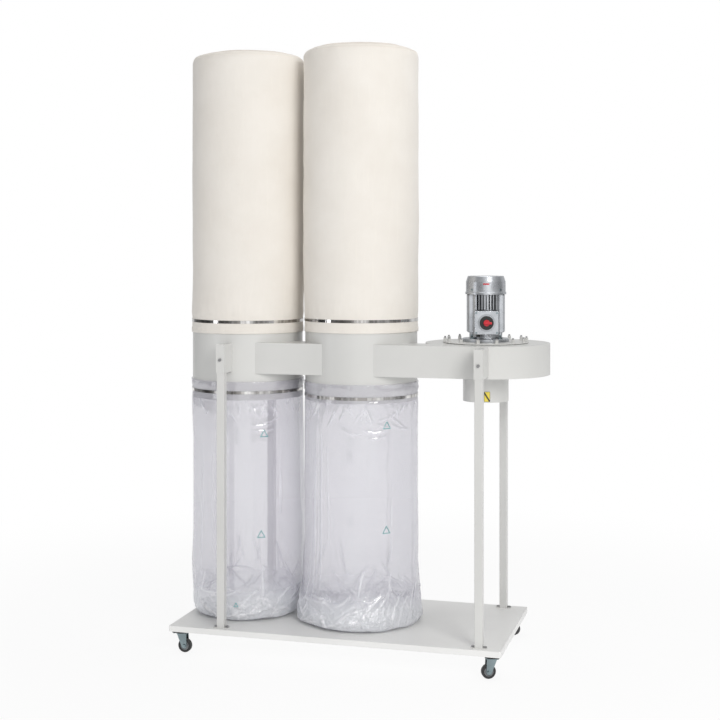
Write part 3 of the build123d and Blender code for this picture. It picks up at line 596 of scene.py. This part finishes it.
filterSet = dict(
    columns=300,
    cuffGap=0.0022,      # from the drum's outside to the cloth's outside under the strap
    wall=0.0018,
    hem=0.0525,          # how far the hem reaches below the strap's middle
    full=dict(left=0.2545, right=0.2565),
    lean=dict(left=0.0045, right=-0.0015),  # the full bags bulge towards each other
    rise=dict(left=0.005, right=0.016),
    edgeRound=0.046,
    crown=0.016,
    seamTurn=78 / 360,   # the upright seam is at the rear
    seeds=dict(left=11, right=23),
)


def filterProfile(side):
    drumLow, drumHigh = boxOf(f"{side}_drum")
    cuff = (drumHigh[0] - drumLow[0]) / 2 + filterSet["cuffGap"]
    strap = middleOf(f"{side}_filter_lever")[2]
    full = filterSet["full"][side]
    top = boxOf(f"{side}_filter_bag")[1][2] + filterSet["rise"][side] - filterSet["crown"]
    bend = filterSet["edgeRound"]
    turned = np.radians(np.arange(0, 91, 10))
    corner = np.stack(
        [full - bend + bend * np.cos(turned), top - bend + 0.82 * bend * np.sin(turned)], -1
    )
    disc = [(full * r, top - 0.18 * bend + filterSet["crown"] * (1 - r * r)) for r in
            (0.75, 0.5, 0.25, 0.004)]
    stops = np.array([
        (cuff + 0.0012, strap - filterSet["hem"]), (cuff + 0.0010, strap - 0.035),
        (cuff, strap - 0.012), (cuff, strap + 0.012), (cuff + 0.0020, strap + 0.035),
        (full - 0.001, strap + 0.10), (full, strap + 0.3), (full + 0.001, (strap + top) / 2),
        (full, top - 0.25), *corner, *disc,
    ])
    return stops, cuff, strap, top, full


def filterLift(side, turns, radius, height, strap, top, full):
    # Gathers fade away from the strap, slow bulges cover the wall, puckers sit at the top seam
    seed = filterSet["seeds"][side]
    gather = wander(turns, height, seed, 96, 0.05) + 0.6 * wander(turns, height, seed + 1, 44, 0.07)
    off = height - strap
    near = np.where(off > 0, np.exp(-np.clip(off - 0.012, 0, None) / 0.055), 0.45)
    near = near * ease(np.abs(off), 0.010, 0.028)
    onWall = (radius > full * 0.8) * 1.0
    bulge = 0.0022 * wander(turns, height, seed + 2, 8, 0.21)
    bulge = bulge + 0.0008 * wander(turns, height, seed + 3, 20, 0.07)
    pucker = wander(turns, height, seed + 4, 40, 0.02) + 0.7 * wander(turns, height, seed + 5, 84, 0.03)
    seamAt = top - 0.022
    nearEdge = np.exp(-(((height - seamAt) / 0.022) ** 2)) * onWall
    ridge = np.exp(-(((height - seamAt) / 0.004) ** 2)) * onWall
    seam = np.exp(-((((turns - filterSet["seamTurn"] + 0.5) % 1 - 0.5) * 2 * pi * full / 0.006) ** 2))
    hem = ease(-off, 0.030, 0.034) * 0.0006
    lift = 0.0017 * gather * near * onWall + bulge * ease(off, 0.03, 0.18) * onWall
    lift = lift + 0.0020 * pucker * nearEdge + 0.0016 * ridge + hem
    return lift + 0.0012 * seam * onWall * ease(np.abs(off), 0.010, 0.028)


def filterBag(side):
    # Radius and height follow a profile from the hem up and over the edge to the top's middle,
    # carried round the drum's axis; the lift above is added to the radius
    axis = middleOf(f"{side}_drum")
    stops, _, strap, top, full = filterProfile(side)
    along, radius, height = walkProfile(stops, ((0.12, 26), (1.05, 62), (1.30, 36), (None, 22)))
    turns = bagTurns(filterSet["columns"])[None, :]
    radius, height = radius[:, None], height[:, None]
    radial = radius + filterLift(side, turns, radius, height, strap, top, full)
    sag = np.sin(np.clip(1 - radius / full, 0, 1) * pi)
    height = height + 0.0035 * wander(turns, radius, filterSet["seeds"][side] + 6, 12, 0.06) * sag
    angle = turns * 2 * pi
    lean = filterSet["lean"][side] * ease(height, strap + 0.03, strap + 0.25)
    rings = np.stack(np.broadcast_arrays(
        axis[0] + lean + radial * np.cos(angle), axis[1] + radial * np.sin(angle), height
    ), -1)
    piece = gridMesh(
        f"{side}_filter_cloth", rings, sheetUv(turns[0], along, full), True, finishes["filter_cloth"]
    )
    # shade gathers in the puckers of the top seam
    shade = 0.6 * np.exp(-(((height - top + 0.008) / 0.010) ** 2)) * (1 + 0 * turns)
    shade = shade + 0.25 * np.exp(-(((height - top + 0.026) / 0.003) ** 2))
    mark = piece.data.attributes.new("seam", "FLOAT", "POINT")
    mark.data.foreach_set("value", np.r_[shade[:-1].ravel(), 0.0].astype(np.float32))
    thicken(piece, filterSet["wall"])
    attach(piece, "frame")
    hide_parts(f"{side}_filter_bag")
    return piece


stitchSet = dict(length=0.0042, gap=0.0028, radius=0.00055, proud=0.0003)


def stitchMesh(name, centres, directions, normals):
    # One small capsule, 8 round by 5 long, is copied to every stitch: a centre, the way it runs
    # and the way it faces give its three axes
    rows, columns = 5, 8
    t = np.linspace(0, pi, rows)[:, None]
    a = np.arange(columns)[None, :] * 2 * pi / columns
    radius, half = stitchSet["radius"], stitchSet["length"] / 2
    local = np.stack(np.broadcast_arrays(
        -np.cos(t) * half, np.sin(t) * np.cos(a) * radius, np.sin(t) * np.sin(a) * radius
    ), -1).reshape(-1, 3)
    sides = np.cross(normals, directions)
    axes = np.stack([directions, sides, normals], 1)
    points = centres[:, None] + np.einsum("kj,njx->nkx", local, axes)
    start = np.arange(rows - 1)[:, None] * columns
    here = np.arange(columns)
    after = (here + 1) % columns
    quads = np.stack([start + here, start + after, start + columns + after, start + columns + here], -1)
    quads = quads.reshape(-1, 4)[:, ::-1]
    shift = (np.arange(len(centres)) * len(local))[:, None, None]
    faces = (quads[None] + shift).reshape(-1, 4)
    mesh = bpy.data.meshes.new(name)
    mesh.from_pydata(points.reshape(-1, 3).tolist(), [], faces.tolist())
    mesh.polygons.foreach_set("use_smooth", [True] * len(mesh.polygons))
    mesh.update()
    mesh.materials.append(finishes["sewing_thread"])
    piece = bpy.data.objects.new(name, mesh)
    bpy.context.scene.collection.objects.link(piece)
    return piece


def bagStitches(side):
    # Stitches round the hem and the top seam, and two rows up the rear seam
    axis = middleOf(f"{side}_drum")
    stops, _, strap, top, full = filterProfile(side)
    pitch = stitchSet["length"] + stitchSet["gap"]
    heights = stops[:, 1]
    wallStops = heights < top - 0.001
    centres, directions, normals = [], [], []

    def place(turns, height, way):
        radius = np.interp(height, heights[wallStops], stops[wallStops, 0])
        lift = filterLift(side, turns, radius, height, strap, top, full)
        angle = turns * 2 * pi
        out = np.stack([np.cos(angle), np.sin(angle), 0 * angle], -1)
        lean = filterSet["lean"][side] * ease(height, strap + 0.03, strap + 0.25)
        middle = np.stack([axis[0] + lean, axis[1] + 0 * lean, 0 * lean], -1)
        centres.append(middle + out * (radius + lift + stitchSet["proud"])[:, None]
                       + height[:, None] * np.array([0, 0, 1]))
        run = np.stack([-np.sin(angle), np.cos(angle), 0 * angle], -1) if way == "round" else (
            np.tile([0.0, 0.0, 1.0], (len(turns), 1)))
        directions.append(run)
        normals.append(out)

    count = int(2 * pi * full / pitch)
    ring = np.arange(count) / count
    place(ring, np.full(count, strap - filterSet["hem"] + 0.016), "round")
    place(ring, np.full(count, top - 0.030), "round")
    up = np.arange(strap + 0.03, top - 0.05, pitch)
    for shift in (-0.0045, 0.0045):
        turns = np.full(len(up), filterSet["seamTurn"] + shift / (2 * pi * full))
        place(turns, up, "up")
    piece = stitchMesh(
        f"{side}_filter_stitches", np.vstack(centres), np.vstack(directions), np.vstack(normals)
    )
    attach(piece, "frame")
    return piece


# Creases of each bag: turn, height, half length, tilt, bow, width, strength (metres, radians)
filmSet = dict(
    columns=320,
    wall=0.0003,
    gap=0.0010,
    foot=dict(
        left=dict(
            shift=(0.0, 0.0), lean=0.0045, side=-1,
            stops=((0.2550, 0.46), (0.2545, 0.36), (0.2530, 0.27), (0.2505, 0.21), (0.2480, 0.172),
                   (0.2440, 0.150), (0.2360, 0.134), (0.2150, 0.1250), (0.17, 0.1235)),
            creases=70,
        ),
        right=dict(
            shift=(-0.001, -0.011), lean=-0.0015, side=1,
            stops=((0.2550, 0.46), (0.2560, 0.36), (0.2600, 0.29), (0.2680, 0.225), (0.2750, 0.18),
                   (0.2765, 0.155), (0.2730, 0.136), (0.2600, 0.1265), (0.2350, 0.1235)),
            creases=90,
        ),
    ),
    drape=dict(
        left=(
            (-0.158, 0.985, 0.060, 0.05, 0.016, 0.007, 0.0030),
            (-0.150, 0.962, 0.055, 0.10, 0.014, 0.006, 0.0026),
            (-0.120, 1.010, 0.050, 0.30, 0.010, 0.006, 0.0028),
            (-0.235, 1.025, 0.060, -0.9, 0.0, 0.006, 0.0030),
            (-0.265, 1.000, 0.070, -1.2, 0.0, 0.007, 0.0030),
            (-0.100, 0.700, 0.300, 1.55, 0.0, 0.010, 0.0022),
            (-0.300, 0.640, 0.360, 1.60, 0.0, 0.012, 0.0022),
            (-0.345, 0.560, 0.380, 1.55, 0.0, 0.010, 0.0025),
        ),
        right=(
            (-0.205, 1.045, 0.045, 1.35, 0.0, 0.005, 0.0034),
            (-0.196, 1.045, 0.045, 1.70, 0.0, 0.005, 0.0034),
            (-0.187, 1.045, 0.045, 2.00, 0.0, 0.005, 0.0030),
            (-0.215, 1.045, 0.045, 1.10, 0.0, 0.005, 0.0030),
            (-0.168, 0.972, 0.075, 0.00, 0.030, 0.007, 0.0042),
            (-0.165, 0.948, 0.060, 0.05, 0.018, 0.006, 0.0034),
            (-0.225, 0.968, 0.055, -0.10, 0.018, 0.006, 0.0036),
            (-0.145, 1.000, 0.030, -0.30, 0.004, 0.008, 0.0040),
            (-0.142, 1.030, 0.028, 0.20, 0.002, 0.007, 0.0034),
            (-0.105, 1.020, 0.060, -0.60, 0.0, 0.006, 0.0030),
            (-0.085, 0.985, 0.060, -0.20, 0.012, 0.006, 0.0028),
            (-0.325, 0.640, 0.420, 1.57, 0.0, 0.010, 0.0034),
            (-0.300, 0.690, 0.380, 1.60, 0.0, 0.008, 0.0030),
            (-0.352, 0.600, 0.400, 1.55, 0.0, 0.009, 0.0034),
            (-0.290, 1.030, 0.050, 1.10, 0.0, 0.007, 0.0034),
            (-0.120, 0.560, 0.300, 1.54, 0.0, 0.010, 0.0016),
        ),
    ),
    seeds=dict(left=41, right=57),
)


def footCreases(side, floor):
    # Random creases crossing the foot; a few run up the wall, as standing film folds do
    draw = np.random.default_rng(filmSet["seeds"][side])
    creases = []
    for _ in range(filmSet["foot"][side]["creases"]):
        creases.append((
            draw.uniform(0, 1), floor + draw.uniform(0.015, 0.13), draw.uniform(0.035, 0.10),
            draw.uniform(-1.2, 1.2), draw.uniform(-0.02, 0.02), draw.uniform(0.008, 0.013),
            draw.choice([-0.6, 1.0]) * draw.uniform(0.0025, 0.0065),
        ))
    for _ in range(12):
        creases.append((
            draw.uniform(0, 1), floor + draw.uniform(0.14, 0.24), draw.uniform(0.06, 0.12),
            draw.uniform(1.1, 2.0), draw.uniform(-0.01, 0.01), draw.uniform(0.007, 0.012),
            draw.uniform(0.002, 0.004),
        ))
    for _ in range(26):  # short gathers under the strap
        creases.append((
            draw.uniform(0, 1), draw.uniform(1.04, 1.08), draw.uniform(0.02, 0.05),
            draw.uniform(0.8, 2.3), 0.0, draw.uniform(0.006, 0.009), draw.uniform(0.002, 0.004),
        ))
    return creases


def filmShape(side):
    drumLow, drumHigh = boxOf(f"{side}_drum")
    strap = middleOf(f"{side}_dust_bag_lever")[2]
    cuff = (drumHigh[0] - drumLow[0]) / 2 + filmSet["gap"]
    floor = boxOf("base_tray")[1][2] + 0.0013
    upper = (
        (cuff + 0.0040, boxOf(f"{side}_dust_bag")[1][2]), (cuff + 0.0030, strap + 0.026),
        (cuff, strap + 0.009), (cuff, strap - 0.009), (cuff + 0.0014, drumLow[2] + 0.004),
        (cuff + 0.0018, drumLow[2] - 0.02), (cuff + 0.0020, 1.00), (cuff + 0.0025, 0.80),
    )
    foot = filmSet["foot"][side]["stops"]
    rise = floor - foot[-1][1]
    foot = [(r, h + rise * ease(h, 0.3, 0.13)) for r, h in foot]
    stops = np.array([*upper, *foot, (0.10, floor), (0.001, floor)])
    return stops, strap, cuff, floor, drumLow[2]


def filmPoints(side, turns, radius, height, shape, creases):
    # radius + gathers by the strap + slow swells + creases, about an axis that moves by the
    # foot's shift as the film comes down; the two bags are kept apart by an upright plane
    _, strap, cuff, floor, drumEnd = shape
    seed = filmSet["seeds"][side]
    foot = filmSet["foot"][side]
    off = height - strap
    onWall = ease(radius, 0.12, 0.2)
    held = ease(np.abs(off), 0.0085, 0.022)
    gather = wander(turns, height, seed, 110, 0.05) + 0.8 * wander(turns, height, seed + 1, 52, 0.06)
    above = 0.0016 * gather * (off > 0) + 0.0016 * wander(turns, height, seed + 4, 30, 0.012) * (off > 0.01)
    below = 0.0013 * gather * (off <= 0) * np.exp(-np.clip(-off, 0, None) / 0.045)
    swell = 0.0028 * wander(turns, height, seed + 2, 9, 0.17) + 0.0010 * wander(
        turns, height, seed + 3, 26, 0.09
    )
    field = creaseField(turns, height, 0.256, creases)
    low = ease(height, floor + 0.16, floor + 0.02)
    lump = 0.0065 * wander(turns, height, seed + 5, 17, 0.055) * low
    free = ease(-off, 0.012, 0.07)
    moved = (above + below) * held + (swell * free + field * ease(-off, 0.010, 0.03) + lump) * onWall
    radial = radius + moved
    radial = np.where(height > drumEnd - 0.006, np.maximum(radial, cuff), radial)
    share = ease(height, 0.34, 0.17)
    axis = middleOf(f"{side}_drum")
    angle = turns * 2 * pi
    lean = foot["lean"] * ease(height, drumEnd, drumEnd - 0.2)
    x = axis[0] + lean + foot["shift"][0] * share + radial * np.cos(angle)
    y = axis[1] + foot["shift"][1] * share + radial * np.sin(angle)
    between = (middleOf("left_drum")[0] + middleOf("right_drum")[0]) / 2 - 0.0195 * share
    x = np.maximum(x, between + 0.002) if foot["side"] > 0 else np.minimum(x, between - 0.002)
    flutter = 0.005 * wander(turns, height, seed + 6, 21, 0.03) * low * onWall
    z = np.maximum(height + flutter * (height < 0.4), floor)
    return np.stack(np.broadcast_arrays(x, y, z), -1), np.abs(field) + 0 * angle


def dustBag(side):
    shape = filmShape(side)
    creases = [*filmSet["drape"][side], *footCreases(side, shape[3])]
    along, radius, height = walkProfile(shape[0], ((0.12, 24), (0.28, 34), (0.86, 28), (1.17, 58), (None, 6)))
    turns = bagTurns(filmSet["columns"])
    points, field = filmPoints(side, turns[None, :], radius[:, None], height[:, None], shape, creases)
    # the rows run downwards, so the columns run clockwise for the faces to look outwards
    piece = gridMesh(
        f"{side}_dust_film", points[:, ::-1], sheetUv(turns, along, 0.256)[:, ::-1], True,
        finishes["clear_film"],
    )
    mark = piece.data.attributes.new("crease", "FLOAT", "POINT")
    values = np.r_[field[:-1, ::-1].ravel(), 0.0] / 0.0036
    mark.data.foreach_set("value", values.clip(0, 1).astype(np.float32))
    mark = piece.data.attributes.new("foot", "FLOAT", "POINT")
    low = ease(points[..., 2] + 0.02 * wander(turns, 0 * along[:, None], 5, 9, 1), 0.30, 0.17)
    mark.data.foreach_set("value", np.r_[low[:-1, ::-1].ravel(), 1.0].astype(np.float32))
    thicken(piece, filmSet["wall"])
    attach(piece, "frame")
    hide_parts(f"{side}_dust_bag")
    for number, (turn, level, size) in enumerate(printSet["marks"][side], 1):
        filmPrint(f"{side}_bag_print_{number}", side, turn, level, size, shape, creases)
    return piece


# Plain triangles printed on the film: turn, height of the middle, side
printSet = dict(
    line=0.0027,
    proud=0.0004,
    marks=dict(
        left=((-0.1505, 0.948, 0.038), (-0.1595, 0.507, 0.038), (-0.230, 0.200, 0.024)),
        right=((-0.1347, 1.001, 0.038), (-0.1360, 0.552, 0.038)),
    ),
)


def filmPrint(name, side, turn, level, size, shape, creases):
    # Three strips, each a 2 x 14 grid on the unrolled film, laid on the same surface as the bag
    reach = size / 2 / cos(pi / 6)
    corners = [(reach * cos(a), reach * sin(a)) for a in (pi / 2, pi * 7 / 6, pi * 11 / 6)]
    t = np.linspace(0, 1, 14)
    points, faces = [], []
    for k in range(3):
        (x0, y0), (x1, y1) = corners[k], corners[(k + 1) % 3]
        inner = 1 - 2 * printSet["line"] / reach
        for share in (inner, 1.0):
            across, up = (x0 + (x1 - x0) * t) * share, (y0 + (y1 - y0) * t) * share
            heights = level + up
            turns = turn + across / (2 * pi * 0.256)
            radius = np.interp(-heights, -shape[0][:, 1], shape[0][:, 0]) + printSet["proud"]
            points.append(filmPoints(side, turns, radius, heights, shape, creases)[0])
        base = k * 28
        j = np.arange(13)
        faces.append(np.stack([base + j, base + 14 + j, base + 15 + j, base + 1 + j], -1))
    mesh = bpy.data.meshes.new(name)
    mesh.from_pydata(np.vstack(points).tolist(), [], np.vstack(faces).tolist())
    mesh.update()
    mesh.materials.append(finishes["bag_print"])
    piece = bpy.data.objects.new(name, mesh)
    bpy.context.scene.collection.objects.link(piece)
    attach(piece, "frame")


labelSet = dict(width=0.026, height=0.044, low=0.004, angle=radians(-76.5), proud=0.00015, wall=0.0002)
badgeSet = dict(
    width=0.028, height=0.006, middle=0.034, radius=0.087, angle=radians(-78), proud=0.0002, wall=0.0008,
)


def curvedPatch(name, centre, radius, angle, width, low, high, corner, finish, wall):
    # A rectangle with rounded corners, bent round an upright axis: each row of the grid is as
    # wide as the corner circles leave it
    rows, columns = 16, 24
    z = np.linspace(low, high, rows)[:, None]
    t = np.linspace(-0.5, 0.5, columns)[None, :]
    edge = np.minimum(z - low, high - z).clip(0, corner)
    inset = corner - np.sqrt(np.maximum(corner ** 2 - (corner - edge) ** 2, 0))
    turn = angle + t * (width - 2 * inset) / radius
    points = np.stack(np.broadcast_arrays(
        centre[0] + radius * np.cos(turn), centre[1] + radius * np.sin(turn), z
    ), -1)
    j = np.arange(columns - 1)
    start = np.arange(rows - 1)[:, None] * columns
    faces = np.stack([start + j, start + j + 1, start + columns + j + 1, start + columns + j], -1)
    mesh = bpy.data.meshes.new(name)
    mesh.from_pydata(points.reshape(-1, 3).tolist(), [], faces.reshape(-1, 4).tolist())
    layer = mesh.uv_layers.new(name="patch")
    loops = np.empty(len(mesh.loops), int)
    mesh.loops.foreach_get("vertex_index", loops)
    u = np.broadcast_to(t * width, (rows, columns)).ravel()[loops]
    v = np.broadcast_to(z - (low + high) / 2, (rows, columns)).ravel()[loops]
    layer.data.foreach_set("uv", np.stack([u, v], -1).astype(np.float32).ravel())
    mesh.polygons.foreach_set("use_smooth", [True] * len(mesh.polygons))
    mesh.update()
    mesh.materials.append(finishes[finish])
    piece = bpy.data.objects.new(name, mesh)
    bpy.context.scene.collection.objects.link(piece)
    solid = thicken(piece, wall).modifiers["wall"]
    solid.offset = 1
    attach(piece, "frame")
    return piece


def addLabels():
    low, high = boxOf("inlet_collar")
    bottom = low[2] + labelSet["low"]
    curvedPatch(
        "collar_label", (low + high) / 2, (high[0] - low[0]) / 2 + labelSet["proud"],
        labelSet["angle"], labelSet["width"], bottom, bottom + labelSet["height"], 0.002,
        "label_print", labelSet["wall"],
    )
    low, high = boxOf("fan_cowl")
    middle = high[2] - badgeSet["middle"]
    curvedPatch(
        "cowl_badge", (low + high) / 2, badgeSet["radius"] + badgeSet["proud"], badgeSet["angle"],
        badgeSet["width"], middle - badgeSet["height"] / 2, middle + badgeSet["height"] / 2,
        badgeSet["height"] / 2, "red_plastic", badgeSet["wall"],
    )


makeCamera()
for name, values in lightSet.items():
    makeLight(name + "Light", **values)
floorMesh = bpy.data.meshes.new("studioFloor")
floorMesh.from_pydata([(-9, -9, 0), (9, -9, 0), (9, 9, 0), (-9, 9, 0)], [], [(0, 1, 2, 3)])
studioFloor = bpy.data.objects.new("studioFloor", floorMesh)
bpy.context.scene.collection.objects.link(studioFloor)
floorMesh.materials.append(plainFloor("plainFloor"))

makeWorld()
bpy.context.scene.view_settings.view_transform = "Standard"
print("camera and light placed")

dressNodes()
print("nodes have their finishes")

for side in ("left", "right"):
    filterBag(side)
    bagStitches(side)
    dustBag(side)
print("bags made")
addLabels()
print("labels made")
